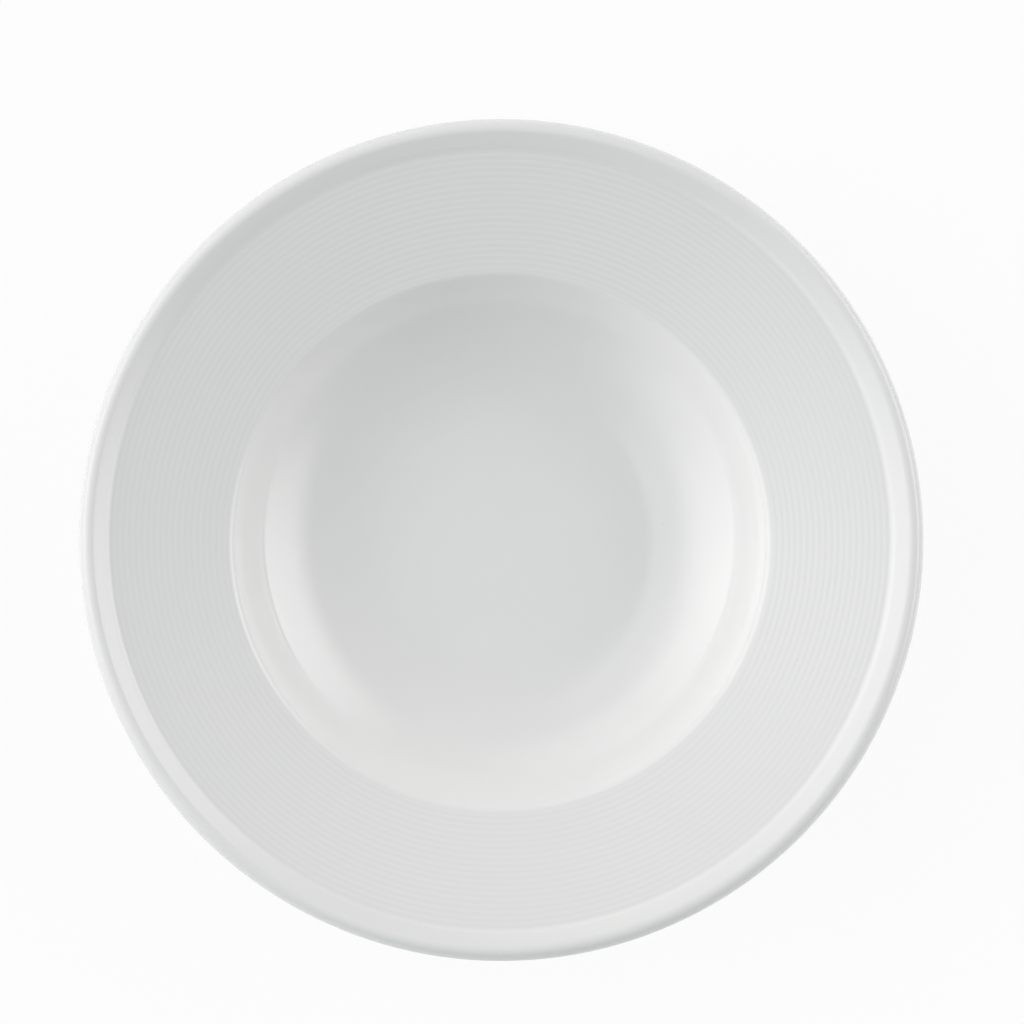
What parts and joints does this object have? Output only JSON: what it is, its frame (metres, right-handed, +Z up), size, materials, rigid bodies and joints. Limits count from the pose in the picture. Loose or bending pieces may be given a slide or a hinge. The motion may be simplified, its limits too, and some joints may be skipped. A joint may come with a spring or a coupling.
{
  "type": "pasta plate",
  "caption": "Round deep pasta plate: a bowl-like well in a wide sloping rim with fine concentric ribs and a raised rolled lip, on a foot ring, glazed all over but for the standing edge.",
  "frame": {"origin": "centre of the standing face of the foot ring", "axes": "+Z up along the axis of the plate; X and Y lie in the standing plane and are interchangeable"},
  "size_m": [0.29, 0.29, 0.0542],
  "materials": {
    "bare_porcelain": "fired, unglazed and fine-grained, seen only on the standing edge of the foot ring",
    "white_glaze": "glossy clear-white glaze, a little cooler where it pools between the ribs"
  },
  "bodies": {
    "root": {"porcelain_body": "bare_porcelain", "glaze_coat": "white_glaze", "base_glaze": "white_glaze"}
  },
  "joints": []
}
